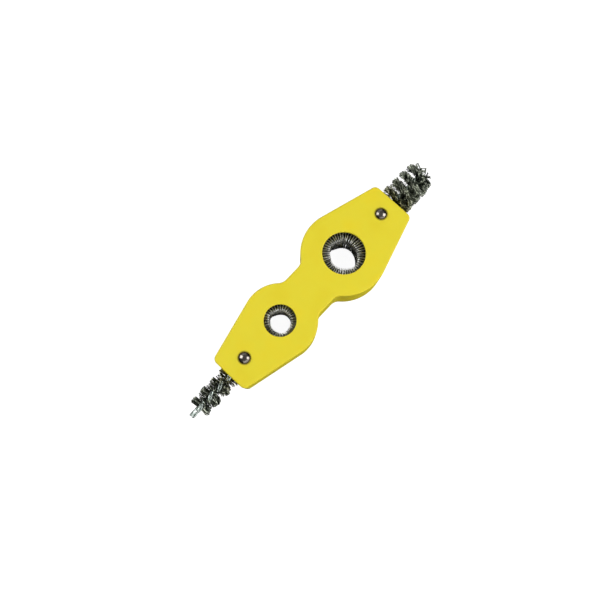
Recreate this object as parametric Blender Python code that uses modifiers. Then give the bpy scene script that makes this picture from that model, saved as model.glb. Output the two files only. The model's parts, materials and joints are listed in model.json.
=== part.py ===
"""Four-in-one tube and fitting brush.

A two-shell plastic body holds two coiled strip brushes, which scour the outside of a tube pushed
through them, and two twisted-wire brushes, one at each end, which scour the inside of a fitting.
A rivet at each end clamps the shells and pins the eyes of that end's brush stem.

The tool lies on its rear face: X runs from the small end to the large end, Z up to the front face.
"""

import math

import bmesh
import bpy
from mathutils import Matrix, Vector

MM = 0.001
GAP = 0.3 * MM  # left between pieces that touch

# Body
THICKNESS = 24.0 * MM
WALL = 2.4 * MM
FACE = 2.2 * MM  # the wall between a face and what the shell holds
EDGE_ROUND = 1.2 * MM
END_CORNER = 4.0 * MM
WAIST_HALF = 15.7 * MM
WAIST_FILLET = 7.5 * MM
HOLE_SPACING = 61.4 * MM
MIDDLE = THICKNESS / 2

# Each end: its lobe and tube hole, the rivet and stem, and the fitting brush outside.
# Lengths along the tool are measured from the hole's axis, and brush lengths from the body's end.
ENDS = {
    "small": {
        "lobe": 24.8 * MM,
        "taper": math.radians(13.5),
        "body_end": 48.0 * MM,
        "rivet": 33.2 * MM,
        "hole": 10.65 * MM,
        "tips": 7.2 * MM,
        "coil_steps": 18,
        "brush": 8.2 * MM,
        "pitch": 17.8 * MM,
        "first_lobe": 9.2 * MM,
        "bristle_end": 30.1 * MM,
        "stem_end": 36.1 * MM,
    },
    "large": {
        "lobe": 28.9 * MM,
        "taper": math.radians(16.4),
        "body_end": 49.0 * MM,
        "rivet": 36.5 * MM,
        "hole": 14.4 * MM,
        "tips": 9.8 * MM,
        "coil_steps": 24,
        "brush": 11.5 * MM,
        "pitch": 16.8 * MM,
        "first_lobe": 6.9 * MM,
        "bristle_end": 35.0 * MM,
        "stem_end": 32.0 * MM,
    },
}

# Strip brush wound into each tube hole. Its radial sizes start from the hole in the face.
STRIP_WIDTH = 4.2 * MM
STRIP_WALL = 0.5 * MM
STRIP_TURNS = 3.25
STRIP_START = math.radians(155)  # where the strip starts, behind the front face
FLANGE_TIP = 0.6 * MM
STRIP_BACK = 3.7 * MM
FOLD_HALF = 1.25 * MM
SLOT_HALF = 0.6 * MM
LEG_TIP = (0.4 * MM, 1.95 * MM)  # a leg's inner and outer side at its tip, from the strip's middle
CORE_RADIUS = 0.42 * MM

# Twisted stem: two hairpin wires, whose four strands grip the fill between them
STRAND_RADIUS = 0.65 * MM
STRAND_ASIDE = 1.07 * MM  # from the fill's mid-plane
STRAND_ALONG = 0.84 * MM  # along the fill, from the stem's axis
STEM_RADIUS = math.hypot(STRAND_ASIDE, STRAND_ALONG) + STRAND_RADIUS
STRAND_TURN = math.radians(30)  # twist between two points of a strand
FILL_HALF = 0.2 * MM
FILL_SPREAD = math.radians(30)  # half the angle that the bristles fan over, about the stem
FILL_TURN = math.radians(20)
FILL_START = 0.5 * MM  # from the body's end

# Rivets and what they pass through
SHANK = 1.9 * MM
HEAD = 3.8 * MM
HEAD_HEIGHT = 1.9 * MM
RIVET_BORE = 1.1 * MM
RIVET_BORE_DEPTH = 4.0 * MM
CLINCH = 3.0 * MM
CLINCH_HEIGHT = 0.9 * MM
WASHER_OUTER = 4.0 * MM
WASHER_HEIGHT = 0.6 * MM
EYE = SHANK + GAP + STRAND_RADIUS  # an eye's centreline
RIVET_BOSS = 6.2 * MM
CRADLE_HALF = 4.6 * MM

# Pegs that line the shells up at the waist
PEG_PLACE = (-1.8 * MM, 8.0 * MM)
PEG_RADIUS = 1.8 * MM
PEG_HEIGHT = 3.0 * MM
PEG_BOSS = 3.6 * MM
WEB_HALF = 1.0 * MM

PAST = 1.0 * MM  # how far a cutter runs past what it cuts

SIDE = {"small": -1, "large": 1}
SPAN = (
    ENDS["small"]["stem_end"]
    + ENDS["small"]["body_end"]
    + HOLE_SPACING
    + ENDS["large"]["body_end"]
    + ENDS["large"]["bristle_end"]
)
HOLE_X = {"small": ENDS["small"]["stem_end"] + ENDS["small"]["body_end"] - SPAN / 2}
HOLE_X["large"] = HOLE_X["small"] + HOLE_SPACING


def along(end, distance):
    """X of a point that far from an end's hole axis, towards that end of the tool."""
    return HOLE_X[end] + SIDE[end] * distance


def end_x(end, beyond=0.0):
    """X of a point beyond the body's end."""
    return along(end, ENDS[end]["body_end"] + beyond)


# ---------------------------------------------------------------- scene


def clear_scene():
    for obj in list(bpy.data.objects):
        bpy.data.objects.remove(obj)


def new_collection(name):
    collection = bpy.data.collections.new(name)
    bpy.context.scene.collection.children.link(collection)
    return collection


def make_material(name, colour, roughness, metallic):
    material = bpy.data.materials.new(name)
    material.use_nodes = True
    shader = material.node_tree.nodes["Principled BSDF"]
    shader.inputs["Base Color"].default_value = (*colour, 1)
    shader.inputs["Roughness"].default_value = roughness
    shader.inputs["Metallic"].default_value = metallic
    return material


clear_scene()
PARTS = new_collection("tube_and_fitting_brush")
CUTTERS = new_collection("cutters")
YELLOW = make_material("yellow_plastic", (0.73, 0.61, 0.06), 0.35, 0.0)
STRIP_STEEL = make_material("strip_steel", (0.45, 0.45, 0.44), 0.4, 1.0)
BRISTLE_STEEL = make_material("bristle_wire", (0.16, 0.17, 0.16), 0.35, 1.0)
STEM_STEEL = make_material("stem_wire", (0.4, 0.41, 0.4), 0.3, 1.0)
RIVET_STEEL = make_material("rivet_steel", (0.5, 0.5, 0.5), 0.2, 1.0)


def add(name, mesh, material=None):
    """A node, or a cutter where no material is given."""
    obj = bpy.data.objects.new(name, mesh)
    if material:
        mesh.materials.append(material)
        PARTS.objects.link(obj)
    else:
        CUTTERS.objects.link(obj)
        obj.hide_render = True
        obj.display_type = "WIRE"
    return obj


def smooth(obj, degrees=35):
    obj.data.shade_smooth()
    obj.data.set_sharp_from_angle(angle=math.radians(degrees))


def boolean(obj, other, operation="DIFFERENCE"):
    modifier = obj.modifiers.new(f"{operation.lower()} {other.name}", "BOOLEAN")
    modifier.operation = operation
    modifier.object = other


def evaluated_mesh(obj):
    bpy.context.view_layer.update()
    graph = bpy.context.evaluated_depsgraph_get()
    return bpy.data.meshes.new_from_object(obj.evaluated_get(graph), depsgraph=graph)


# ---------------------------------------------------------------- shapes


def arc(centre, radius, start, stop, steps):
    """Points of an arc, both ends included. Angles in radians."""
    turns = [start + (stop - start) * i / steps for i in range(steps + 1)]
    return [
        (centre[0] + radius * math.cos(turn), centre[1] + radius * math.sin(turn))
        for turn in turns
    ]


def end_corner(end, inset):
    """The rounded corner between an end and its tapered side, and the angle of that side's normal."""
    size = ENDS[end]
    lobe = size["lobe"] - inset
    radius = max(END_CORNER - inset, 0.5 * MM)
    reach = size["body_end"] - inset - radius
    rise = (lobe - radius - reach * math.sin(size["taper"])) / math.cos(size["taper"])
    return (HOLE_X[end] + SIDE[end] * reach, rise), radius


def waist_fillet(end, inset):
    """Centre of the fillet between a lobe and the waist, and the angle from the lobe's centre to it."""
    lobe = ENDS[end]["lobe"]
    height = WAIST_HALF + WAIST_FILLET
    reach = math.sqrt((lobe + WAIST_FILLET) ** 2 - height**2)
    x = HOLE_X[end] - SIDE[end] * reach
    return (x, height), math.atan2(height, -SIDE[end] * reach)


def body_outline(inset=0.0):
    """The hourglass outline, anticlockwise from the large end's upper corner."""
    quarter = math.pi / 2
    upper = []
    corner, corner_radius = end_corner("large", inset)
    taper = ENDS["large"]["taper"]
    upper += arc(corner, corner_radius, 0, quarter - taper, 4)
    centre, toward = waist_fillet("large", inset)
    lobe = ENDS["large"]["lobe"] - inset
    upper += arc((HOLE_X["large"], 0), lobe, quarter - taper, toward, 9)
    upper += arc(centre, WAIST_FILLET + inset, toward - math.pi, -quarter, 4)
    centre, toward = waist_fillet("small", inset)
    upper += arc(centre, WAIST_FILLET + inset, -quarter, toward - math.pi, 4)
    lobe = ENDS["small"]["lobe"] - inset
    taper = ENDS["small"]["taper"]
    upper += arc((HOLE_X["small"], 0), lobe, toward, quarter + taper, 8)
    corner, corner_radius = end_corner("small", inset)
    upper += arc(corner, corner_radius, quarter + taper, 2 * quarter, 4)
    return upper + [(x, -y) for x, y in reversed(upper)]


def prism(name, outline, low, high, material=None):
    """A flat outline from one height to another."""
    curve = bpy.data.curves.new(name, "CURVE")
    curve.dimensions = "2D"
    curve.fill_mode = "BOTH"
    curve.extrude = (high - low) / 2
    spline = curve.splines.new("POLY")
    spline.points.add(len(outline) - 1)
    for point, (x, y) in zip(spline.points, outline):
        point.co = (x, y, 0, 1)
    spline.use_cyclic_u = True
    flat = bpy.data.objects.new(name, curve)
    CUTTERS.objects.link(flat)
    mesh = evaluated_mesh(flat)
    bpy.data.objects.remove(flat)
    shape = bmesh.new()
    shape.from_mesh(mesh)
    bmesh.ops.remove_doubles(shape, verts=shape.verts, dist=0.001 * MM)
    bmesh.ops.dissolve_limit(
        shape,
        angle_limit=math.radians(1),
        verts=shape.verts,
        edges=shape.edges,
    )
    bmesh.ops.translate(shape, verts=shape.verts, vec=(0, 0, (high + low) / 2))
    shape.to_mesh(mesh)
    shape.free()
    return add(name, mesh, material)


def box(name, low, high, material=None):
    centre = (Vector(low) + Vector(high)) / 2
    size = Vector(high) - Vector(low)
    shape = bmesh.new()
    place = Matrix.Translation(centre) @ Matrix.Diagonal((*size, 1))
    bmesh.ops.create_cube(shape, size=1, matrix=place)
    mesh = bpy.data.meshes.new(name)
    shape.to_mesh(mesh)
    shape.free()
    return add(name, mesh, material)


def cylinder(name, radius, low, high, centre=(0, 0), segments=32, axis="Z"):
    """A cylinder between two places on its axis: Z, or X through the middle of the thickness."""
    shape = bmesh.new()
    bmesh.ops.create_cone(
        shape,
        cap_ends=True,
        segments=segments,
        radius1=radius,
        radius2=radius,
        depth=high - low,
    )
    bmesh.ops.translate(shape, verts=shape.verts, vec=(0, 0, (high + low) / 2))
    if axis == "X":
        place = Matrix.Translation((0, 0, MIDDLE)) @ Matrix.Rotation(math.pi / 2, 4, "Y")
    else:
        place = Matrix.Translation((*centre, 0))
    bmesh.ops.transform(shape, verts=shape.verts, matrix=place)
    mesh = bpy.data.meshes.new(name)
    shape.to_mesh(mesh)
    shape.free()
    return add(name, mesh)


def turned(name, profile, place, material=None, steps=20, closed=False):
    """A profile of (radius, height), run down its outer side, turned about the Z axis."""
    mesh = bpy.data.meshes.new(name)
    edges = [(i, i + 1) for i in range(len(profile) - 1)]
    if closed:
        edges.append((len(profile) - 1, 0))
    mesh.from_pydata([(radius, 0, height) for radius, height in profile], edges, [])
    obj = add(name, mesh, material)
    obj.location = (*place, 0)
    screw = obj.modifiers.new("turn", "SCREW")
    screw.steps = steps
    screw.render_steps = steps
    screw.use_merge_vertices = True
    screw.merge_threshold = 0.001 * MM
    screw.use_smooth_shade = True
    return obj


def swept(name, section, axis, angle, rise, steps, place, material):
    """A flat section turned about an axis through the origin while it moves along that axis."""
    shape = bmesh.new()
    face = shape.faces.new([shape.verts.new(point) for point in section])
    bmesh.ops.spin(
        shape,
        geom=[face, *face.edges, *face.verts],
        cent=(0, 0, 0),
        axis=axis,
        dvec=Vector(axis) * rise / steps,
        angle=angle,
        steps=steps,
    )
    bmesh.ops.translate(shape, verts=shape.verts, vec=place)
    bmesh.ops.recalc_face_normals(shape, faces=shape.faces)
    mesh = bpy.data.meshes.new(name)
    shape.to_mesh(mesh)
    shape.free()
    obj = add(name, mesh, material)
    smooth(obj)
    return obj


# ---------------------------------------------------------------- strip brushes


def strip_coil(end):
    """The strip brush of a tube hole: its channel, the fill folded into it, and the core wire."""
    size = ENDS[end]
    back = size["hole"] + STRIP_BACK
    fold = back - STRIP_WALL - GAP / 2
    core = fold - SLOT_HALF - GAP / 2 - CORE_RADIUS
    half = STRIP_WIDTH / 2
    inner = half - STRIP_WALL
    flange = size["hole"] + FLANGE_TIP
    slot_end = fold - SLOT_HALF
    sections = {
        "channel": [
            (back, -half),
            (back, half),
            (flange, half),
            (flange, inner),
            (back - STRIP_WALL, inner),
            (back - STRIP_WALL, -inner),
            (flange, -inner),
            (flange, -half),
        ],
        "bristles": [
            (fold, -FOLD_HALF),
            (fold, FOLD_HALF),
            (size["tips"], LEG_TIP[1]),
            (size["tips"], LEG_TIP[0]),
            (slot_end, SLOT_HALF),
            (slot_end, -SLOT_HALF),
            (size["tips"], -LEG_TIP[0]),
            (size["tips"], -LEG_TIP[1]),
        ],
        "core_wire": arc((core, 0), CORE_RADIUS, 0, 1.5 * math.pi, 3),
    }
    steels = {
        "channel": STRIP_STEEL,
        "bristles": BRISTLE_STEEL,
        "core_wire": STRIP_STEEL,
    }
    top = THICKNESS - FACE - GAP - half
    drop = top - (FACE + GAP + half)
    steps = round(STRIP_TURNS * size["coil_steps"])
    start = Matrix.Rotation(STRIP_START, 4, "Z")
    for part, section in sections.items():
        swept(
            f"{end}_tube_coil_{part}",
            [start @ Vector((radius, 0, height)) for radius, height in section],
            (0, 0, -1),
            STRIP_TURNS * 2 * math.pi,
            drop,
            steps,
            (HOLE_X[end], 0, top),
            steels[part],
        )


# ---------------------------------------------------------------- fitting brushes


def neck(end):
    """Distance outward from the body's end to where the strands start to twist, so negative."""
    size = ENDS[end]
    return size["first_lobe"] - 0.75 * size["pitch"]


def twist(end, distance):
    """Turn of the fill about the stem, from upright at the neck. The lay is left-handed."""
    return -SIDE[end] * 2 * math.pi * (distance - neck(end)) / ENDS[end]["pitch"]


def strand(end, aside, level):
    """Points of one strand, from its neck to its tip. Aside and level are 1 or -1."""
    size = ENDS[end]
    length = size["stem_end"] - neck(end)
    steps = round(length / size["pitch"] * 2 * math.pi / STRAND_TURN)
    points = []
    for i in range(steps + 1):
        distance = neck(end) + length * i / steps
        turn = twist(end, distance)
        y, z = aside * STRAND_ASIDE, level * STRAND_ALONG
        points.append(
            (
                end_x(end, distance),
                y * math.cos(turn) - z * math.sin(turn),
                MIDDLE + y * math.sin(turn) + z * math.cos(turn),
            )
        )
    return points


def eye(end, level):
    """The eye round the rivet, from one leg to the other, open towards the brush."""
    reach = abs(end_x(end, neck(end)) - along(end, ENDS[end]["rivet"]))
    lean = math.acos((EYE - STRAND_ASIDE) / reach)
    flat = arc((0, 0), EYE, lean, 2 * math.pi - lean, 9)
    return [
        (along(end, ENDS[end]["rivet"]) + SIDE[end] * x, y, MIDDLE + level * STRAND_ALONG)
        for x, y in flat
    ]


def stem_wire(end, name, level):
    """One hairpin: down a strand, round the eye and back up the other strand."""
    points = [*reversed(strand(end, 1, level)), *eye(end, level), *strand(end, -1, level)]
    curve = bpy.data.curves.new(name, "CURVE")
    curve.dimensions = "3D"
    curve.bevel_depth = STRAND_RADIUS
    curve.bevel_resolution = 1
    curve.use_fill_caps = True
    spline = curve.splines.new("POLY")
    spline.points.add(len(points) - 1)
    for point, place in zip(spline.points, points):
        point.co = (*place, 1)
    spline.use_smooth = True
    curve.materials.append(STEM_STEEL)
    PARTS.objects.link(bpy.data.objects.new(name, curve))


def fitting_fill(end):
    """The bristles as a two-bladed screw, thin between the strands and fanned out at the tips."""
    size = ENDS[end]
    root = STEM_RADIUS + GAP
    blade = [(root, -FILL_HALF), *arc((0, 0), size["brush"], -FILL_SPREAD, FILL_SPREAD, 2)]
    blade += [(root, FILL_HALF), (0, FILL_HALF)]
    outline = blade + [(-along_fill, -across) for along_fill, across in blade]
    start = twist(end, FILL_START)
    length = size["bristle_end"] - FILL_START
    angle = 2 * math.pi * length / size["pitch"]
    upright = Matrix.Rotation(start, 4, "X")
    swept(
        f"{end}_fitting_bristles",
        [upright @ Vector((0, across, along_fill)) for along_fill, across in outline],
        (SIDE[end], 0, 0),
        -angle,
        length,
        round(angle / FILL_TURN),
        (end_x(end, FILL_START), 0, MIDDLE),
        BRISTLE_STEEL,
    )


# ---------------------------------------------------------------- rivets


def rivet(end):
    """A domed semi-tubular rivet, set over a washer sunk in the rear face."""
    place = (along(end, ENDS[end]["rivet"]), 0)
    under_head = THICKNESS + GAP
    dome = (HEAD**2 + HEAD_HEIGHT**2) / (2 * HEAD_HEIGHT)
    rim = math.asin(HEAD / dome)
    crown = under_head + HEAD_HEIGHT - dome
    profile = [
        (dome * math.sin(rim * i / 5), crown + dome * math.cos(rim * i / 5)) for i in range(6)
    ]
    clinch_top = GAP + CLINCH_HEIGHT
    profile += [
        (SHANK, under_head),
        (SHANK, clinch_top),
        (CLINCH, clinch_top),
        (CLINCH, GAP + CLINCH_HEIGHT / 3),
        (CLINCH * 0.75, GAP),
        (RIVET_BORE, GAP + CLINCH_HEIGHT / 2),
        (RIVET_BORE, RIVET_BORE_DEPTH),
        (0, RIVET_BORE_DEPTH + RIVET_BORE / 2),
    ]
    turned(f"{end}_rivet", profile, place, RIVET_STEEL)
    low = clinch_top + GAP
    high = low + WASHER_HEIGHT
    bore = SHANK + GAP
    washer = [(bore, high), (WASHER_OUTER, high), (WASHER_OUTER, low), (bore, low)]
    turned(f"{end}_rivet_washer", washer, place, RIVET_STEEL, closed=True)


# ---------------------------------------------------------------- shells


def shell(name, front):
    """One half of the body: cored out behind its face, with its seats, bosses and rim."""
    outside = THICKNESS if front else 0
    parting = MIDDLE + GAP / 2 if front else MIDDLE - GAP / 2
    face = THICKNESS - FACE if front else FACE
    low, high = sorted((outside, parting))
    body = prism(name, body_outline(), low, high, YELLOW)
    round_face_edge(body, outside)

    # The hollow runs from the face's inner side past the parting plane, round what stands in it.
    past_parting = parting + (-PAST if front else PAST)
    hollow_low, hollow_high = sorted((face, past_parting))
    hollow = prism(f"{name}_hollow", body_outline(WALL), hollow_low, hollow_high)
    stand_low, stand_high = hollow_low - PAST, hollow_high + PAST
    for part in standing_parts(name, stand_low, stand_high):
        boolean(hollow, part)
    boolean(body, hollow)

    if front:
        sockets(body, parting)
    else:
        pegs(body, parting)

    for end in ENDS:
        for cutter in end_cutters(name, end, front, face, past_parting):
            boolean(body, cutter)
    smooth(body, 30)


def round_face_edge(body, outside):
    """Rounds the outline's edge on the face that is seen."""
    shape = bmesh.new()
    shape.from_mesh(body.data)
    weight = shape.edges.layers.float.new("bevel_weight_edge")
    for edge in shape.edges:
        at_face = all(abs(vertex.co.z - outside) < 0.01 * MM for vertex in edge.verts)
        edge[weight] = float(at_face and edge.calc_face_angle(0) > math.radians(45))
    shape.to_mesh(body.data)
    shape.free()
    bevel = body.modifiers.new("round face edge", "BEVEL")
    bevel.limit_method = "WEIGHT"
    bevel.width = EDGE_ROUND
    bevel.segments = 3


def standing_parts(name, low, high):
    """What is left standing in a shell's hollow."""
    parts = []
    for end, size in ENDS.items():
        seat = size["hole"] + STRIP_BACK + GAP + 2 * MM
        place = (HOLE_X[end], 0)
        parts.append(cylinder(f"{name}_{end}_seat_wall", seat, low, high, place, 40))
        rivet_x = along(end, size["rivet"])
        parts.append(
            cylinder(f"{name}_{end}_rivet_boss", RIVET_BOSS, low, high, (rivet_x, 0), 24)
        )
        near, far = sorted((rivet_x, end_x(end, PAST)))
        cradle = box(
            f"{name}_{end}_cradle", (near, -CRADLE_HALF, low), (far, CRADLE_HALF, high)
        )
        parts.append(cradle)
    for side in (-1, 1):
        place = (PEG_PLACE[0], side * PEG_PLACE[1])
        parts.append(cylinder(f"{name}_peg_boss_{side}", PEG_BOSS, low, high, place, 20))
    parts.append(
        box(
            f"{name}_web",
            (HOLE_X["small"], -WEB_HALF, low),
            (HOLE_X["large"], WEB_HALF, high),
        )
    )
    return parts


def pegs(body, parting):
    for side in (-1, 1):
        place = (PEG_PLACE[0], side * PEG_PLACE[1])
        top = parting + PEG_HEIGHT
        peg = cylinder(f"peg_{side}", PEG_RADIUS, parting - PAST, top, place, 16)
        boolean(body, peg, "UNION")


def sockets(body, parting):
    for side in (-1, 1):
        place = (PEG_PLACE[0], side * PEG_PLACE[1])
        top = parting + PEG_HEIGHT + 2 * GAP
        radius = PEG_RADIUS + GAP
        boolean(body, cylinder(f"socket_{side}", radius, parting - PAST, top, place, 16))


def end_cutters(name, end, front, face, past_parting):
    """What is cut from a shell for one end's coil, rivet and stem."""
    size = ENDS[end]
    place = (HOLE_X[end], 0)
    rivet_x = along(end, size["rivet"])
    outside = THICKNESS + PAST if front else -PAST
    seat_low, seat_high = sorted((face, past_parting))
    hole_low, hole_high = sorted((outside, past_parting))
    seat = size["hole"] + STRIP_BACK + GAP
    cutters = [
        cylinder(f"{name}_{end}_seat", seat, seat_low, seat_high, place, 48),
        cylinder(f"{name}_{end}_hole", size["hole"], hole_low, hole_high, place, 48),
        cylinder(f"{name}_{end}_rivet_hole", SHANK + GAP, hole_low, hole_high, (rivet_x, 0), 24),
    ]
    if not front:
        sink = 3 * GAP + CLINCH_HEIGHT + WASHER_HEIGHT
        radius = WASHER_OUTER + GAP
        cutters.append(
            cylinder(f"{name}_{end}_washer_sink", radius, -PAST, sink, (rivet_x, 0), 24)
        )
    stem = STEM_RADIUS + GAP
    eye_room = EYE + STRAND_RADIUS + GAP
    level = STRAND_ALONG + STRAND_RADIUS + GAP
    neck_x = end_x(end, neck(end))
    leg_room = [(rivet_x, eye_room), (rivet_x, -eye_room), (neck_x, -stem), (neck_x, stem)]
    near, far = sorted((neck_x - SIDE[end] * PAST, end_x(end, PAST)))
    cutters += [
        cylinder(
            f"{name}_{end}_eye_seat", eye_room, MIDDLE - level, MIDDLE + level, (rivet_x, 0), 24
        ),
        prism(f"{name}_{end}_leg_slot", leg_room, MIDDLE - level, MIDDLE + level),
        cylinder(f"{name}_{end}_stem_way", stem, near, far, segments=20, axis="X"),
    ]
    return cutters


# ---------------------------------------------------------------- assembly

shell("front_shell", front=True)
shell("rear_shell", front=False)
for which in ENDS:
    strip_coil(which)
    stem_wire(which, f"{which}_stem_front_wire", 1)
    stem_wire(which, f"{which}_stem_rear_wire", -1)
    fitting_fill(which)
    rivet(which)
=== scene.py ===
"""Looks of the four-in-one tube and fitting brush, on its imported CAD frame.

Plastic shells with rounded edges, domed rivets, twisted stems, and brushes made of single wires.
"""

import json
import math
from functools import partial

import bmesh
import bpy
import numpy as np
from mathutils import Matrix, Vector


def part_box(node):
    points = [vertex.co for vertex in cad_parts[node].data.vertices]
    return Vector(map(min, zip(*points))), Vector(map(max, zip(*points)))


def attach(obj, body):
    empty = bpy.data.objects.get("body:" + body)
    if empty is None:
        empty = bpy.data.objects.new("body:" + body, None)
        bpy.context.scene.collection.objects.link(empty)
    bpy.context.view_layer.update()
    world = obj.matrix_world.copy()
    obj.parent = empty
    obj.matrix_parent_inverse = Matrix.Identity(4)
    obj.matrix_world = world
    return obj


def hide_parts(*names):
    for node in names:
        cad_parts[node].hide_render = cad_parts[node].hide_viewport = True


MM = 0.001
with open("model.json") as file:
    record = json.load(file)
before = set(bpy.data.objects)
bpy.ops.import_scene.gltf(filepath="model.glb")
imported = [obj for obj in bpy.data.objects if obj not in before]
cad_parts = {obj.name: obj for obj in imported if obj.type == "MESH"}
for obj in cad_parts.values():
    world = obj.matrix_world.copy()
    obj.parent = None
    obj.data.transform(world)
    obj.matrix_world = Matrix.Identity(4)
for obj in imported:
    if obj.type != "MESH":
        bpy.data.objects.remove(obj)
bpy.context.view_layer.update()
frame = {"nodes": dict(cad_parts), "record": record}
rng = np.random.default_rng(47)

# ---------------------------------------------------------------- sizes
# The body, the strips, the stems and the rivets have the CAD part's sizes. The wires' own sizes
# and places are set here.

EDGE_ROUND = 1.2 * MM
RIM_ROUND = 0.45 * MM
PARTING_ROUND = 0.25 * MM
PARTING_HALF = 0.1 * MM  # half of the gap between the shells
FACE = 2.2 * MM
END_CORNER = 4.0 * MM
WAIST_HALF = 15.7 * MM
WAIST_FILLET = 7.5 * MM
SEAT_BEYOND = 4.0 * MM  # the coil's seat is this much larger than the hole in the face

STRIP_TURNS = 3.25
STRIP_START = math.radians(155)
STRIP_HALF = 2.1 * MM
GAP = 0.3 * MM
FOLD_BEYOND = 2.9 * MM  # radius of the bristles' fold beyond the hole's

STRAND_RADIUS = 0.65 * MM
STRAND_ASIDE = 1.07 * MM
STRAND_ALONG = 0.84 * MM
STEM_RADIUS = math.hypot(STRAND_ASIDE, STRAND_ALONG) + STRAND_RADIUS
SHANK = 1.9 * MM
EYE = SHANK + GAP + STRAND_RADIUS

# The rivet's head stands on the front face, and its far end is rolled over a washer in a sink.
HEAD = 3.8 * MM
HEAD_RIM = 0.3 * MM
HEAD_RISE = 1.75 * MM
CLINCH = 2.45 * MM  # radius of the middle of the rolled lip
LIP_WIDTH = 0.55 * MM
LIP_HEIGHT = 0.42 * MM
SINK = 4.3 * MM
SINK_DEPTH = 2.4 * MM

RING_WIRE_RADIUS = 0.135 * MM
WIRES_PER_LEG = 22
WIRES_PER_TUFT = 5

ENDS = {
    "small": {
        "side": -1,
        "lobe": 24.8 * MM,
        "taper": math.radians(13.5),
        "hole": 10.65 * MM,
        "tips": 6.8 * MM,
        "bent_back": ((102, 1.3 * MM, 25), (237, 0.8 * MM, 30)),  # towards, how deep, how wide
        "shaded_inner_tone": (3.5, 1.5),  # of a beta distribution: the painted shade of the inner turns and rear legs
        "lit_outer_tone": (0.92, 1.0),  # least and most: the painted lit tone of the first turn's front legs
        "shade": (0.55, 1.05),  # of a beta distribution
        "tufts": 34,
        "lobe_round": 0.2,  # how much shorter the wires at a lobe's sides are
        "brush": 8.1 * MM,
        "pitch": 17.8 * MM,
        "first_lobe": 9.2 * MM,
        "fill_end": 28.8 * MM,
        "crowding": 0.88,  # under 1, the fill is denser towards the end
        "end_taper": 0.05,
        "bristle_end": 30.0 * MM,
        "stem_end": 36.1 * MM,
        "fill_tufts": 520,
        "fill_wire": 0.16 * MM,
        "fan": (60, 50, 50),  # degrees, at the body, near the end and at the end
        "flare": 1.1,
        "end_lean": (0.3, -0.4, 0.0),
    },
    "large": {
        "side": 1,
        "lobe": 28.9 * MM,
        "taper": math.radians(16.4),
        "hole": 14.4 * MM,
        "tips": 8.9 * MM,
        "bent_back": ((100, 1.1 * MM, 22), (270, 1.6 * MM, 35)),
        "shaded_inner_tone": (2.0, 3.2),
        "lit_outer_tone": (0.65, 1.0),
        "shade": (0.9, 0.9),
        "tufts": 47,
        "lobe_round": 0.08,
        "brush": 11.8 * MM,
        "pitch": 15.6 * MM,
        "first_lobe": 7.2 * MM,
        "fill_end": 31.9 * MM,
        "crowding": 0.88,
        "end_taper": 0.12,
        "bristle_end": 34.3 * MM,
        "stem_end": 32.0 * MM,
        "fill_tufts": 1200,
        "fill_wire": 0.13 * MM,
        "fan": (88, 46, 120),
        "flare": 1.2,
        "end_lean": (1.6, 0.9, -3.1),
    },
}

body_low, body_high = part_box("front_shell")
THICKNESS = body_high.z
MIDDLE = THICKNESS / 2
for opening in frame["record"]["physics"]["openings"]:
    low, high = opening["box_m"]
    ENDS[opening["name"].split("_")[0]]["x"] = (low[0] + high[0]) / 2
for name, size in ENDS.items():
    rivet_low, rivet_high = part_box(f"{name}_rivet")
    size["rivet_x"] = (rivet_low.x + rivet_high.x) / 2
    size["end_x"] = body_high.x if size["side"] > 0 else body_low.x
    size["body_end"] = abs(size["end_x"] - size["x"])


# ---------------------------------------------------------------- material helpers


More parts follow.
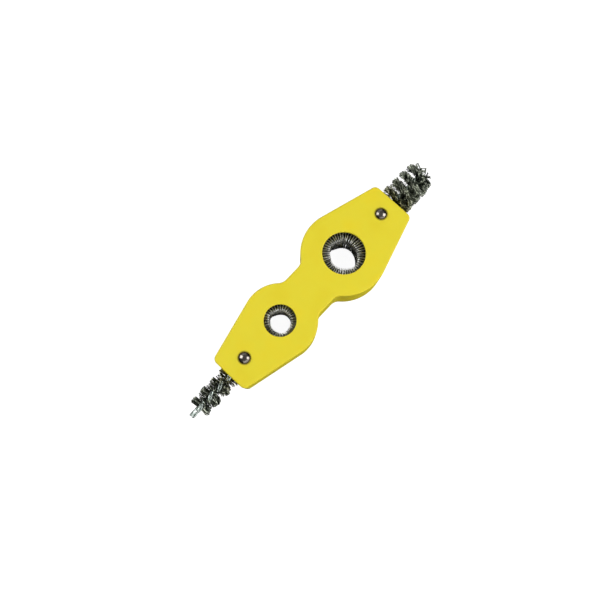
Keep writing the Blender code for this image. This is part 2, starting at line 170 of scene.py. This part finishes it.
class Shader:
    """A new material and short ways to add nodes to it."""

    def __init__(self, name):
        self.material = bpy.data.materials.new(name)
        self.material.use_nodes = True
        self.tree = self.material.node_tree
        self.principled = self.tree.nodes["Principled BSDF"]

    def node(self, kind, **settings):
        made = self.tree.nodes.new(kind)
        for key, value in settings.items():
            setattr(made, key, value)
        return made

    def link(self, source, target):
        self.tree.links.new(source, target)

    def set(self, **values):
        for key, value in values.items():
            self.principled.inputs[key.replace("_", " ")].default_value = value

    def place(self):
        return self.node("ShaderNodeTexCoord").outputs["Object"]

    def noise(self, size, detail=3.0, stretch=(1, 1, 1), roughness=0.5):
        """Noise with features of about that size, in metres."""
        mapping = self.node("ShaderNodeMapping")
        mapping.inputs["Scale"].default_value = [value / size for value in stretch]
        self.link(self.place(), mapping.inputs["Vector"])
        noise = self.node("ShaderNodeTexNoise")
        noise.inputs["Scale"].default_value = 1.0
        noise.inputs["Detail"].default_value = detail
        noise.inputs["Roughness"].default_value = roughness
        self.link(mapping.outputs["Vector"], noise.inputs["Vector"])
        return noise.outputs["Fac"]

    def ramp(self, factor, stops):
        ramp = self.node("ShaderNodeValToRGB")
        elements = ramp.color_ramp.elements
        while len(elements) < len(stops):
            elements.new(0.5)
        for element, (position, colour) in zip(elements, stops):
            element.position = position
            element.color = (*colour, 1)
        self.link(factor, ramp.inputs["Fac"])
        return ramp.outputs["Color"]

    def spread(self, factor, low, high, start=0.0, stop=1.0):
        """Maps a factor from start..stop to low..high."""
        mapped = self.node("ShaderNodeMapRange")
        mapped.inputs["From Min"].default_value = start
        mapped.inputs["From Max"].default_value = stop
        mapped.inputs["To Min"].default_value = low
        mapped.inputs["To Max"].default_value = high
        self.link(factor, mapped.inputs["Value"])
        return mapped.outputs["Result"]

    def from_rivets(self):
        """Distance from the nearer rivet's axis."""
        level = self.node("ShaderNodeVectorMath", operation="MULTIPLY")
        level.inputs[1].default_value = (1, 1, 0)
        self.link(self.place(), level.inputs[0])
        nearer = self.node("ShaderNodeMath", operation="MINIMUM")
        for size, socket in zip(ENDS.values(), nearer.inputs):
            away = self.node("ShaderNodeVectorMath", operation="DISTANCE")
            away.inputs[1].default_value = (size["rivet_x"], 0, 0)
            self.link(level.outputs["Vector"], away.inputs[0])
            self.link(away.outputs["Value"], socket)
        return nearer.outputs["Value"]

    def mix(self, factor, first, second, blend="MIX"):
        mixed = self.node("ShaderNodeMix", data_type="RGBA", blend_type=blend)
        sockets = (mixed.inputs[0], mixed.inputs[6], mixed.inputs[7])
        for socket, value in zip(sockets, (factor, first, second)):
            if isinstance(value, bpy.types.NodeSocket):
                self.link(value, socket)
            elif isinstance(value, (int, float)):
                socket.default_value = value
            else:
                socket.default_value = (*value, 1)
        return mixed.outputs[2]

    def bump(self, height, distance, strength=1.0):
        bump = self.node("ShaderNodeBump")
        bump.inputs["Distance"].default_value = distance
        bump.inputs["Strength"].default_value = strength
        self.link(height, bump.inputs["Height"])
        self.link(bump.outputs["Normal"], self.principled.inputs["Normal"])


def yellow_plastic():
    """Satin moulded plastic: faint mottling, dark specks, a fine grain, and a painted shade ring
    round each rivet.
    """
    shader = Shader("yellow_plastic")
    shader.set(IOR=1.46, Specular_IOR_Level=0.35)
    shader.set(
        Subsurface_Weight=0.12,
        Subsurface_Radius=(1.0, 0.7, 0.1),
        Subsurface_Scale=2.0 * MM,
    )
    cloud = shader.ramp(
        shader.noise(22 * MM, detail=2.0),
        [(0.3, (0.775, 0.645, 0.024)), (0.5, (0.785, 0.67, 0.03)), (0.7, (0.805, 0.66, 0.023))],
    )
    speck = shader.spread(shader.noise(0.8 * MM, detail=4.0), 0.0, 0.35, 0.66, 0.78)
    specked = shader.mix(speck, cloud, (0.68, 0.56, 0.03))
    # Painted shade: the plastic darkens 4.1 to 4.9 mm from each rivet's axis, round the heads in
    # front and round the washers' sinks at the back.
    rivet_shade_ring = shader.spread(shader.from_rivets(), 0.8, 0.0, 4.1 * MM, 4.9 * MM)
    colour = shader.mix(rivet_shade_ring, specked, (0.13, 0.1, 0.008))
    shader.link(colour, shader.principled.inputs["Base Color"])
    rough = shader.spread(shader.noise(6 * MM, detail=5.0, roughness=0.65), 0.42, 0.56, 0.3, 0.7)
    shader.link(rough, shader.principled.inputs["Roughness"])
    shader.bump(shader.noise(0.45 * MM, detail=2.0), 0.012 * MM)
    return shader.material


def steel(name, dark, light, roughness, grain=0.5 * MM):
    """Drawn or rolled steel, with patches of darker film and fine drawing lines."""
    shader = Shader(name)
    shader.set(Metallic=1.0)
    film_and_rim_reflection = shader.noise(2.5 * MM, detail=4.0, roughness=0.6)
    colour = shader.ramp(film_and_rim_reflection, [(0.35, dark), (0.7, light)])
    shader.link(colour, shader.principled.inputs["Base Color"])
    rough = shader.spread(film_and_rim_reflection, roughness + 0.12, roughness - 0.06, 0.3, 0.7)
    shader.link(rough, shader.principled.inputs["Roughness"])
    shader.bump(shader.noise(grain, detail=2.0, stretch=(0.2, 1, 1)), 0.006 * MM)
    return shader.material


def bristle_wire(name, stops, roughness):
    """Fine wire whose shade follows each wire's tone attribute, which for the tube holes' wires is
    painted light and shade, tinted tan near the body as a painted reflection of the yellow plastic.

    The tube holes' wires have no such reflection attribute, so none of them is tinted.
    """
    shader = Shader(name)
    shader.set(Metallic=1.0)
    tone = shader.node("ShaderNodeAttribute", attribute_name="tone").outputs["Fac"]
    yellow_reflection = shader.node("ShaderNodeAttribute", attribute_name="yellow_reflection").outputs["Fac"]
    colour = shader.mix(yellow_reflection, shader.ramp(tone, stops), (1.0, 0.84, 0.45), blend="MULTIPLY")
    shader.link(colour, shader.principled.inputs["Base Color"])
    rough = shader.spread(shader.noise(1.2 * MM), roughness - 0.08, roughness + 0.1, 0.3, 0.7)
    shader.link(rough, shader.principled.inputs["Roughness"])
    return shader.material


def white_table():
    """A bright table that hardly takes a shadow."""
    shader = Shader("white_table")
    stops = [(0.3, (0.3, 0.3, 0.3)), (0.7, (0.33, 0.33, 0.33))]
    shade = shader.ramp(shader.noise(0.5, detail=1.0), stops)
    shader.link(shade, shader.principled.inputs["Base Color"])
    shader.set(Roughness=0.9, Specular_IOR_Level=0.0)
    shader.set(Emission_Color=(1, 1, 1, 1), Emission_Strength=0.94)
    return shader.material


def rivet_metal():
    """Polished steel, with a painted dark brown reflection of the shaded yellow face round the
    lower part of the dome.
    """
    shader = Shader("rivet_polish")
    shader.set(Metallic=1.0)
    mottle = shader.noise(1.4 * MM, detail=4.0, roughness=0.6)
    steel_colour = shader.ramp(mottle, [(0.35, (0.19, 0.17, 0.15)), (0.7, (0.29, 0.265, 0.24))])
    apart = shader.node("ShaderNodeSeparateXYZ")
    shader.link(shader.place(), apart.inputs[0])
    height = apart.outputs["Z"]
    # Painted reflection: from 1.45 mm above the face downwards the steel turns dark brown, only in
    # front of the body's middle.
    rim = shader.spread(height, 1.0, 0.0, THICKNESS + 0.5 * MM, THICKNESS + 1.45 * MM)
    in_front = shader.spread(height, 0.0, 1.0, MIDDLE, MIDDLE + 1 * MM)
    film_and_rim_reflection = shader.node("ShaderNodeMath", operation="MULTIPLY")
    shader.link(rim, film_and_rim_reflection.inputs[0])
    shader.link(in_front, film_and_rim_reflection.inputs[1])
    colour = shader.mix(film_and_rim_reflection.outputs[0], steel_colour, (0.05, 0.035, 0.012))
    shader.link(colour, shader.principled.inputs["Base Color"])
    rough = shader.spread(mottle, 0.1, 0.2, 0.3, 0.7)
    shader.link(rough, shader.principled.inputs["Roughness"])
    return shader.material


PLASTIC = yellow_plastic()
RIVET_POLISH = rivet_metal()
RIVET_STEEL = steel("rivet_steel", (0.5, 0.48, 0.45), (0.66, 0.64, 0.61), 0.13)
STEM_STEEL = steel("stem_steel", (0.4, 0.46, 0.43), (0.82, 0.9, 0.85), 0.2)
STRIP_STEEL = steel("strip_steel", (0.12, 0.12, 0.115), (0.3, 0.3, 0.29), 0.4)
# The ramp's dark end gives the inner turns their painted shade and its light end gives the first
# turn its painted light.
RING_WIRE = bristle_wire(
    "ring_bristle_wire",
    [
        (0.0, (0.025, 0.026, 0.024)),
        (0.35, (0.15, 0.15, 0.14)),
        (0.7, (0.75, 0.75, 0.7)),
        (1.0, (0.97, 0.98, 0.92)),
    ],
    0.42,
)
BRUSH_WIRE = bristle_wire(
    "brush_bristle_wire",
    [(0.0, (0.012, 0.017, 0.012)), (0.5, (0.22, 0.25, 0.195)), (1.0, (0.95, 1.0, 0.85))],
    0.34,
)


# ---------------------------------------------------------------- geometry helpers


def arc(centre, radius, start, stop, step=math.radians(2.5)):
    count = max(3, round(abs(stop - start) / step))
    turns = [start + (stop - start) * i / count for i in range(count + 1)]
    x, y = centre
    return [(x + radius * math.cos(turn), y + radius * math.sin(turn)) for turn in turns]


def body_outline(inset=0.0):
    """The hourglass outline, anticlockwise from the large end's upper corner."""
    quarter = math.pi / 2
    upper = []
    for end in ("large", "small"):
        size = ENDS[end]
        side, x, taper = size["side"], size["x"], size["taper"]
        lobe = size["lobe"] - inset
        corner = END_CORNER - inset
        reach = size["body_end"] - END_CORNER
        rise = (size["lobe"] - END_CORNER - reach * math.sin(taper)) / math.cos(taper)
        fillet = WAIST_FILLET + inset
        height = WAIST_HALF + WAIST_FILLET
        away = math.sqrt((size["lobe"] + WAIST_FILLET) ** 2 - height**2)
        toward = math.atan2(height, -away)
        run = arc((reach, rise), corner, 0, quarter - taper, math.radians(6))
        run += arc((0, 0), lobe, quarter - taper, toward)
        run += arc((-away, height), fillet, toward - math.pi, -quarter)
        run = [(x + side * px, py) for px, py in run]
        upper += run if side > 0 else run[::-1]
    return upper + [(x, -y) for x, y in reversed(upper)]


def circle(centre_x, radius, count=128):
    turns = [2 * math.pi * i / count for i in range(count)]
    return [(centre_x + radius * math.cos(turn), radius * math.sin(turn)) for turn in turns]


def new_object(name, mesh, material):
    obj = bpy.data.objects.new(name, mesh)
    mesh.materials.append(material)
    bpy.context.scene.collection.objects.link(obj)
    return obj


def smooth(obj, degrees=30):
    obj.data.shade_smooth()
    obj.data.set_sharp_from_angle(angle=math.radians(degrees))


def finish_piece(obj, slot, *nodes):
    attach(obj, "root")
    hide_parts(*nodes)


def loft(shape, loops):
    """Quads between one closed loop and the next. Returns each loop's vertices."""
    rows = [[shape.verts.new(point) for point in loop] for loop in loops]
    for row, following in zip(rows, rows[1:]):
        for i in range(len(row)):
            j = (i + 1) % len(row)
            shape.faces.new((row[i], row[j], following[j], following[i]))
    return rows


def fill_flat(shape, loops, height):
    """A flat face inside the first loop and outside the others."""
    curve = bpy.data.curves.new("flat", "CURVE")
    curve.dimensions = "2D"
    curve.fill_mode = "FRONT"
    for loop in loops:
        spline = curve.splines.new("POLY")
        spline.points.add(len(loop) - 1)
        for point, (x, y) in zip(spline.points, loop):
            point.co = (x, y, 0, 1)
        spline.use_cyclic_u = True
    flat = bpy.data.objects.new("flat", curve)
    bpy.context.scene.collection.objects.link(flat)
    bpy.context.view_layer.update()
    graph = bpy.context.evaluated_depsgraph_get()
    mesh = bpy.data.meshes.new_from_object(flat.evaluated_get(graph), depsgraph=graph)
    bpy.data.objects.remove(flat)
    mesh.transform(Matrix.Translation((0, 0, height)))
    shape.from_mesh(mesh)
    bpy.data.meshes.remove(mesh)


def rounded(radius, low, high, steps=5):
    """(how far in, height) of a quarter round from the wall at low to the flat at high."""
    turns = [math.pi / 2 * i / steps for i in range(steps + 1)]
    return [(radius * (1 - math.cos(turn)), low + (high - low) * math.sin(turn)) for turn in turns]


def turned(name, profile, x, material, steps=64):
    """A profile of (radius, height), from the axis at the top to the axis at the bottom."""
    mesh = bpy.data.meshes.new(name)
    shape = bmesh.new()
    loops = [
        [(px, py, height) for px, py in circle(x, radius, steps)]
        for radius, height in profile
        if radius > 0
    ]
    rows = loft(shape, loops)
    for which in (0, -1):
        ring = rows[which]
        centre = shape.verts.new((x, 0, profile[which][1]))
        for i in range(steps):
            shape.faces.new((ring[i - 1], ring[i], centre))
    bmesh.ops.recalc_face_normals(shape, faces=shape.faces)
    shape.to_mesh(mesh)
    shape.free()
    obj = new_object(name, mesh, material)
    smooth(obj, 40)
    return obj


def tubes(name, paths, radius, tone, material, sides=3):
    """Wires as thin tubes: paths is (wires, points, 3), and tone gives each wire's shade.

    Three sides and few points keep the finest brush under 200,000 triangles.
    """
    wires, points, _ = paths.shape
    along = np.gradient(paths, axis=1)
    along /= np.linalg.norm(along, axis=2, keepdims=True)
    overall = paths[:, -1] - paths[:, 0]
    helper = np.zeros_like(overall)
    helper[np.arange(wires), np.abs(overall).argmin(axis=1)] = 1.0
    across = np.cross(along, helper[:, None, :])
    across /= np.linalg.norm(across, axis=2, keepdims=True)
    third = np.cross(along, across)
    turns = 2 * np.pi * np.arange(sides) / sides
    radius = np.broadcast_to(np.asarray(radius, float).reshape(-1, 1, 1, 1), (wires, 1, 1, 1))
    ring = (
        paths[:, :, None, :]
        + radius * np.cos(turns)[None, None, :, None] * across[:, :, None, :]
        + radius * np.sin(turns)[None, None, :, None] * third[:, :, None, :]
    )
    verts = ring.reshape(-1, 3)
    base = (np.arange(wires) * points * sides)[:, None, None]
    row = base + (np.arange(points - 1) * sides)[None, :, None]
    side = np.arange(sides)[None, None, :]
    after = (side + 1) % sides
    corners = [row + side, row + after, row + sides + after, row + sides + side]
    quads = np.stack(corners, axis=-1).reshape(-1, 4)
    start_caps = base[:, :, 0] + np.arange(sides)[None, ::-1]
    end_caps = base[:, :, 0] + (points - 1) * sides + np.arange(sides)[None, :]
    faces = quads.tolist() + start_caps.tolist() + end_caps.tolist()
    mesh = bpy.data.meshes.new(name)
    mesh.from_pydata(verts.tolist(), [], faces)
    shade = mesh.attributes.new("tone", "FLOAT", "POINT")
    shade.data.foreach_set("value", np.repeat(tone, points * sides).astype(np.float32))
    mesh.shade_smooth()
    return new_object(name, mesh, material)


# ---------------------------------------------------------------- body shells


def shell(end_z, parting, name, node):
    """A shell: outer wall with its rounded face edge, and a stepped seat for each coil."""
    up = 1 if end_z > parting else -1
    inside = end_z - up * FACE
    shape = bmesh.new()
    walls = [[(PARTING_ROUND, parting), (0, parting + up * PARTING_ROUND)]]
    walls[0] += rounded(EDGE_ROUND, end_z - up * EDGE_ROUND, end_z, 6)
    outlines = [body_outline]
    for size in ENDS.values():
        hole, seat = size["hole"], size["hole"] + SEAT_BEYOND
        chamfer = RIM_ROUND / 2
        wall = [(seat, parting), (seat, inside), (hole + chamfer, inside)]
        wall += [(hole, inside + up * chamfer)]
        rim = rounded(RIM_ROUND, end_z - up * RIM_ROUND, end_z, 4)
        wall += [(hole + inset, z) for inset, z in rim]
        walls.append(wall)
        outlines.append(partial(circle, size["x"]))
        bore = SHANK + GAP / 2
        walls.append([(bore, parting), (bore, end_z)])
        outlines.append(partial(circle, size["rivet_x"]))
    for wall, outline in zip(walls, outlines):
        loft(shape, [[(x, y, z) for x, y in outline(inset)] for inset, z in wall])
    for which in (0, -1):
        loops = [outline(wall[which][0]) for wall, outline in zip(walls, outlines)]
        fill_flat(shape, loops, walls[0][which][1])
    bmesh.ops.remove_doubles(shape, verts=shape.verts, dist=0.002 * MM)
    bmesh.ops.recalc_face_normals(shape, faces=shape.faces)
    mesh = bpy.data.meshes.new(name)
    shape.to_mesh(mesh)
    shape.free()
    obj = new_object(name, mesh, PLASTIC)
    cut_inside_ways(obj, up < 0)
    smooth(obj, 28)
    obj.modifiers.new("flat faces stay flat", "WEIGHTED_NORMAL").keep_sharp = True
    finish_piece(obj, "yellow_plastic", node)


def cut_inside_ways(obj, rear):
    """Cuts the way of each stem, the seat of each eye and, at the rear, the washers' sinks."""
    for size in ENDS.values():
        inner, outer = size["rivet_x"], size["end_x"] + size["side"] * 1 * MM
        cut_cylinder(
            obj, STEM_RADIUS + GAP, abs(outer - inner), ((inner + outer) / 2, 0, MIDDLE), lying=True
        )
        eye_room = EYE + STRAND_RADIUS + GAP
        eye_depth = 2 * (STRAND_ALONG + STRAND_RADIUS + GAP)
        cut_cylinder(obj, eye_room, eye_depth, (size["rivet_x"], 0, MIDDLE))
        if rear:
            cut_cylinder(obj, SINK, 2 * SINK_DEPTH, (size["rivet_x"], 0, 0), segments=64)


def cut_cylinder(obj, radius, depth, place, segments=48, lying=False):
    """Cuts a cylinder, centred at place, along Z or, lying, along X."""
    shape = bmesh.new()
    bmesh.ops.create_cone(
        shape, cap_ends=True, segments=segments, radius1=radius, radius2=radius, depth=depth
    )
    turn = Matrix.Rotation(math.pi / 2, 4, "Y") if lying else Matrix()
    bmesh.ops.transform(shape, verts=shape.verts, matrix=Matrix.Translation(place) @ turn)
    cut(obj, shape)


def cut(obj, shape):
    """Cuts a closed shape out of obj's mesh."""
    mesh = bpy.data.meshes.new("cutter")
    shape.to_mesh(mesh)
    shape.free()
    cutter = bpy.data.objects.new("cutter", mesh)
    bpy.context.scene.collection.objects.link(cutter)
    modifier = obj.modifiers.new("cut", "BOOLEAN")
    modifier.operation = "DIFFERENCE"
    modifier.solver = "EXACT"
    modifier.object = cutter
    bpy.context.view_layer.update()
    graph = bpy.context.evaluated_depsgraph_get()
    result = bpy.data.meshes.new_from_object(obj.evaluated_get(graph), depsgraph=graph)
    obj.modifiers.clear()
    obj.data = result
    bpy.data.objects.remove(cutter)


# ---------------------------------------------------------------- rivets


def rivet(name, size):
    """A domed rivet with a thin rim, its clinched end rolled over the washer at the back."""
    seat = THICKNESS + 0.02 * MM
    dome = (HEAD**2 + HEAD_RISE**2) / (2 * HEAD_RISE)
    edge = math.asin(HEAD / dome)
    crown = seat + HEAD_RIM + HEAD_RISE - dome
    turns = [edge * i / 14 for i in range(15)]
    profile = [(dome * math.sin(turn), crown + dome * math.cos(turn)) for turn in turns]
    profile += [(HEAD, seat + 0.06 * MM), (HEAD - 0.08 * MM, seat), (SHANK, seat)]
    # Down the shank, out over the washer, round the rolled lip and up inside the hollow end.
    profile += [(SHANK, 1.25 * MM), (2.7 * MM, 1.2 * MM)]
    for turn in [math.pi * i / 8 for i in range(9)]:
        radius = CLINCH + LIP_WIDTH * math.sin(turn)
        profile.append((radius, 0.75 * MM + LIP_HEIGHT * math.cos(turn)))
    profile += [(1.3 * MM, 0.6 * MM), (1.1 * MM, 1.0 * MM), (1.1 * MM, 4.0 * MM), (0, 4.5 * MM)]
    obj = turned(f"{name}_rivet_polished", profile, size["rivet_x"], RIVET_POLISH)
    finish_piece(obj, "rivet_steel", f"{name}_rivet")


# ---------------------------------------------------------------- tube hole bristles


def ring_bristles(name, size):
    """Tufts of wire folded into the coiled strip and trimmed to one bore.

    The first turn's front legs are painted lit and all other wires painted in shade, and in two
    places use has bent the wires back a little.
    """
    tufts = round(size["tufts"] * STRIP_TURNS)
    per_tuft = 2 * WIRES_PER_LEG
    wires = tufts * per_tuft
    top = THICKNESS - FACE - GAP - STRIP_HALF
    drop = top - (FACE + GAP + STRIP_HALF)
    travel = np.repeat((np.arange(tufts) + 0.5) / tufts, per_tuft)
    leg = np.tile(np.repeat([1.0, -1.0], WIRES_PER_LEG), tufts)
    turn = STRIP_START - travel * STRIP_TURNS * 2 * np.pi
    centre_z = top - drop * travel
    first_turn = travel * STRIP_TURNS < 1
    last_turn = (1 - travel) * STRIP_TURNS < 1

    # Each tuft leans a little, and its wires stay together in the first turn.
    lean = np.repeat(rng.normal(0, 0.012, tufts), per_tuft)
    lean += 0.03 * np.sin(turn * 2 + 1.0)
    root_turn = turn + rng.normal(0, 0.005, wires)
    tight, loose = 0.14 * MM, 0.6 * MM
    apart = np.where(first_turn, tight, loose) / size["tips"]
    tip_turn = turn + lean + apart * rng.uniform(-1, 1, wires)
    root_z = centre_z + leg * rng.uniform(0.15, 1.0, wires) * MM
    tip_z = centre_z + leg * rng.uniform(0.2, 2.5, wires) * MM
    # The last turn flares out over all that is left of the hole, and half of it to a dense rim.
    rim_share, rim_depth, rim_z = 0.55, 1.8 * MM, 0.6 * MM
    at_rim = rng.random(wires) < rim_share
    flare_depth = np.where(at_rim, rim_depth, centre_z + rim_depth)
    flared_z = rim_z + flare_depth * rng.random(wires)
    tip_z = np.where(last_turn, flared_z, tip_z)

    tip_radius = size["tips"] + np.abs(rng.normal(0, 0.06, wires)) * MM
    for towards, deep, width in size["bent_back"]:
        away = np.abs((turn - math.radians(towards) + np.pi) % (2 * np.pi) - np.pi)
        tip_radius += deep * np.exp(-((away / math.radians(width)) ** 2))
    root_radius = size["hole"] + FOLD_BEYOND
    step = np.linspace(0, 1, 5)[None, :]
    bow = np.sin(np.pi * step)
    radius = root_radius + (tip_radius[:, None] - root_radius) * step
    angle = root_turn[:, None] + (tip_turn - root_turn)[:, None] * step**1.6
    angle = angle + rng.normal(0, 0.008, wires)[:, None] * bow
    height = root_z[:, None] + (tip_z - root_z)[:, None] * step**0.7
    height = height + rng.normal(0, 0.1, wires)[:, None] * MM * bow
    paths = np.stack([size["x"] + radius * np.cos(angle), radius * np.sin(angle), height], axis=-1)

    # Painted light and shade: the first turn's front legs take a lit tone per tuft, and all other
    # wires a darker shaded tone.
    lit_tuft_tone = np.repeat(rng.uniform(*size["lit_outer_tone"], tufts), per_tuft)
    bright = lit_tuft_tone + rng.normal(0, 0.06, wires)
    painted_lit_legs = first_turn & (leg > 0)
    tone = np.where(painted_lit_legs, np.clip(bright, 0, 1), rng.beta(*size["shaded_inner_tone"], wires))
    obj = tubes(f"{name}_ring_wires", paths, RING_WIRE_RADIUS, tone, RING_WIRE)
    finish_piece(obj, "bristle_wire", f"{name}_tube_coil_bristles")


# ---------------------------------------------------------------- fitting brushes


def neck(size):
    """Where the strands start to twist, as a distance beyond the body's end, so inside it."""
    return size["first_lobe"] - 0.75 * size["pitch"]


def twist(size, distance):
    """Turn of the fill about the stem at a distance beyond the body's end. Left-handed lay."""
    return -size["side"] * 2 * np.pi * (distance - neck(size)) / size["pitch"]


def strand_points(size, aside, level):
    """Points of one strand from its neck to its tip, where the strands spring apart a little."""
    length = size["stem_end"] - 0.15 * MM - neck(size)
    distance = neck(size) + length * np.linspace(0, 1, 150)
    turn = twist(size, distance)
    sprung = 1.5 * MM
    loose = 1 + 0.2 * np.clip((distance - size["stem_end"] + sprung) / sprung, 0, 1)
    y = aside * STRAND_ASIDE * loose
    z = level * STRAND_ALONG * loose
    return np.stack(
        [
            size["end_x"] + size["side"] * distance,
            y * np.cos(turn) - z * np.sin(turn),
            MIDDLE + y * np.sin(turn) + z * np.cos(turn),
        ],
        axis=-1,
    )


def stem(name, size):
    """Two hairpin wires, each round the rivet and twisted with the other."""
    reach = abs(size["end_x"] + size["side"] * neck(size) - size["rivet_x"])
    lean = math.acos((EYE - STRAND_ASIDE) / reach)
    eye = np.array(arc((0, 0), EYE, lean, 2 * math.pi - lean, math.radians(6)))
    for label, level in (("front", 1), ("rear", -1)):
        height = np.full(len(eye), MIDDLE + level * STRAND_ALONG)
        loop = np.stack([size["rivet_x"] + size["side"] * eye[:, 0], eye[:, 1], height], axis=-1)
        inward, outward = strand_points(size, 1, level)[::-1], strand_points(size, -1, level)
        path = np.concatenate([inward, loop, outward])[None]
        tone = np.array([0.5])
        strand = f"{name}_stem_{label}_strand"
        obj = tubes(strand, path, STRAND_RADIUS, tone, STEM_STEEL, sides=14)
        smooth(obj, 50)
        finish_piece(obj, "stem_wire", f"{name}_stem_{label}_wire")


def brush_wires(name, size):
    """The fill: tufts of wire gripped by the stem, in two blades that wind round it.

    Fan is how far a blade spreads about the stem to each side, and flare how far its tufts lean
    along it. End_lean gives the last tufts' lean in mm, as a square law of how far a wire points
    towards +Y.
    """
    tufts, fan, flare = size["fill_tufts"], np.radians(size["fan"]), size["flare"]
    start = 0.5 * MM
    distance = start + (size["fill_end"] - start) * np.linspace(0, 1, tufts) ** size["crowding"]
    blade = np.pi * rng.integers(0, 2, tufts)
    aside = np.clip(rng.normal(0, 0.55, tufts), -1, 1)
    offset = aside * np.interp(distance, [0, 0.85 * size["fill_end"], size["fill_end"]], fan)
    lean = rng.uniform(-flare, flare, tufts) * MM
    reach = (1 - 0.09 * rng.random(tufts) ** 2) * (1 - size["lobe_round"] * aside**2)
    shade = rng.beta(*size["shade"], tufts)
    curl = rng.normal(0, 0.35, tufts) * MM

    spread = partial(np.repeat, repeats=WIRES_PER_TUFT)
    wires = tufts * WIRES_PER_TUFT
    distance = spread(distance) + rng.normal(0, 0.1, wires) * MM
    own_offset = rng.normal(0, 0.022, wires)
    root_turn = twist(size, distance) + spread(blade + 0.2 * offset)
    turn = twist(size, distance) + spread(blade + offset) + own_offset
    lean = spread(lean) + rng.normal(0, 0.12, wires) * MM
    end_zone = 8 * MM
    near_end = np.clip((distance - size["fill_end"] + end_zone) / end_zone, 0, 1) ** 2
    up = -np.sin(turn)
    level, slope, curve = size["end_lean"]
    end_lean = level + slope * up + curve * up**2
    lean = lean * (1 - 0.5 * near_end) + end_lean * MM * near_end
    tip = size["brush"] * spread(reach) * (1 - np.abs(rng.normal(0, 0.02, wires)))
    tip *= 1 - size["end_taper"] * near_end

    step = np.linspace(0, 1, 6)[None, :]
    grip = 0.9 * MM
    out = grip + (tip[:, None] - grip) * step
    angle = root_turn[:, None] + (turn - root_turn)[:, None] * step**0.6
    wave = spread(curl)[:, None] * np.sin(np.pi * step)
    wave = wave + rng.normal(0, 0.05, wires)[:, None] * MM * step
    x = distance[:, None] + lean[:, None] * step**1.7 + wave
    clear_of_body = 0.25 * MM
    x = np.clip(x, clear_of_body, size["bristle_end"])
    paths = np.stack(
        [
            size["end_x"] + size["side"] * x,
            -out * np.sin(angle),
            MIDDLE + out * np.cos(angle),
        ],
        axis=-1,
    )
    tone = np.clip(spread(shade) + rng.normal(0, 0.12, wires), 0, 1)
    obj = tubes(f"{name}_fitting_wires", paths, size["fill_wire"], tone, BRUSH_WIRE)
    # Painted reflection of the yellow body: the wires' tan tint fades over 5 mm beyond the body's
    # end.
    yellow_reflection = obj.data.attributes.new("yellow_reflection", "FLOAT", "POINT")
    beyond = np.repeat(distance, len(obj.data.vertices) // wires)
    reflection_reach = 5 * MM
    yellow_reflection.data.foreach_set("value", np.exp(-beyond / reflection_reach).astype(np.float32))
    finish_piece(obj, "bristle_wire", f"{name}_fitting_bristles")


# ---------------------------------------------------------------- the object

shell(THICKNESS, MIDDLE + PARTING_HALF, "front_body", "front_shell")
shell(0.0, MIDDLE - PARTING_HALF, "rear_body", "rear_shell")
for name, size in ENDS.items():
    rivet(name, size)
    ring_bristles(name, size)
    stem(name, size)
for name, size in ENDS.items():
    brush_wires(name, size)

for name in ENDS:
    frame["nodes"][f"{name}_tube_coil_channel"].data.materials[0] = STRIP_STEEL
    frame["nodes"][f"{name}_tube_coil_core_wire"].data.materials[0] = STRIP_STEEL
    frame["nodes"][f"{name}_rivet_washer"].data.materials[0] = RIVET_STEEL

# ---------------------------------------------------------------- stage, light and camera


def make_table():
    """A flat white table whose far edge curves up all round, seen by the camera alone."""
    shape = bmesh.new()
    bmesh.ops.create_uvsphere(shape, u_segments=48, v_segments=32, radius=4.0)
    for vertex in shape.verts:
        vertex.co.z = max(vertex.co.z, 0.0)
    mesh = bpy.data.meshes.new("table")
    shape.to_mesh(mesh)
    shape.free()
    table = new_object("table", mesh, white_table())
    table.visible_diffuse = False
    table.visible_glossy = False


def area_light(name, place, target, width, height, power):
    light = bpy.data.lights.new(name, "AREA")
    light.shape = "RECTANGLE"
    light.size = width
    light.size_y = height
    light.energy = power
    obj = bpy.data.objects.new(name, light)
    bpy.context.scene.collection.objects.link(obj)
    obj.location = place
    obj.rotation_euler = (Vector(target) - Vector(place)).to_track_quat("-Z", "Y").to_euler()


def make_world():
    """A dim room, darker towards the horizon than overhead."""
    world = bpy.data.worlds.new("studio")
    world.use_nodes = True
    nodes, links = world.node_tree.nodes, world.node_tree.links
    place = nodes.new("ShaderNodeTexCoord")
    apart = nodes.new("ShaderNodeSeparateXYZ")
    ramp = nodes.new("ShaderNodeValToRGB")
    low, high = ramp.color_ramp.elements
    low.position, low.color = 0.1, (0.03, 0.03, 0.03, 1)
    high.position, high.color = 0.8, (0.26, 0.26, 0.26, 1)
    links.new(place.outputs["Generated"], apart.inputs["Vector"])
    links.new(apart.outputs["Z"], ramp.inputs["Fac"])
    links.new(ramp.outputs["Color"], nodes["Background"].inputs["Color"])
    bpy.context.scene.world = world


def make_camera():
    """Above the tool, a little off the face's normal, with the tool's axis turned in the frame."""
    camera = bpy.data.cameras.new("camera")
    camera.sensor_width = 36.0
    camera.lens = 37.3
    camera.clip_start = 0.01
    place = Vector((-0.0616, -0.0433, 0.4227))
    target = Vector((-0.0121, -0.0003, 0.0240))
    upward = Vector((0.72, 0.675, 0.16))
    back = (place - target).normalized()
    right = upward.cross(back).normalized()
    obj = bpy.data.objects.new("camera", camera)
    obj.matrix_world = Matrix((right, back.cross(right), back)).transposed().to_4x4()
    obj.location = place
    bpy.context.scene.collection.objects.link(obj)
    bpy.context.scene.camera = obj


make_table()
make_world()
area_light("right", (0.52, -0.615, 0.579), (0, 0, 0), 0.6, 0.75, 6.1)
area_light("left", (-0.348, 0.69, 0.58), (0, 0, 0), 0.6, 0.75, 5.3)
area_light("low_front", (-0.45, -1.1, 0.55), (0, 0, 0), 2.2, 1.0, 10.0)
area_light("low_back", (0.45, 1.1, 0.45), (0, 0, 0), 2.2, 1.0, 3.0)
make_camera()
bpy.context.scene.view_settings.view_transform = "Standard"
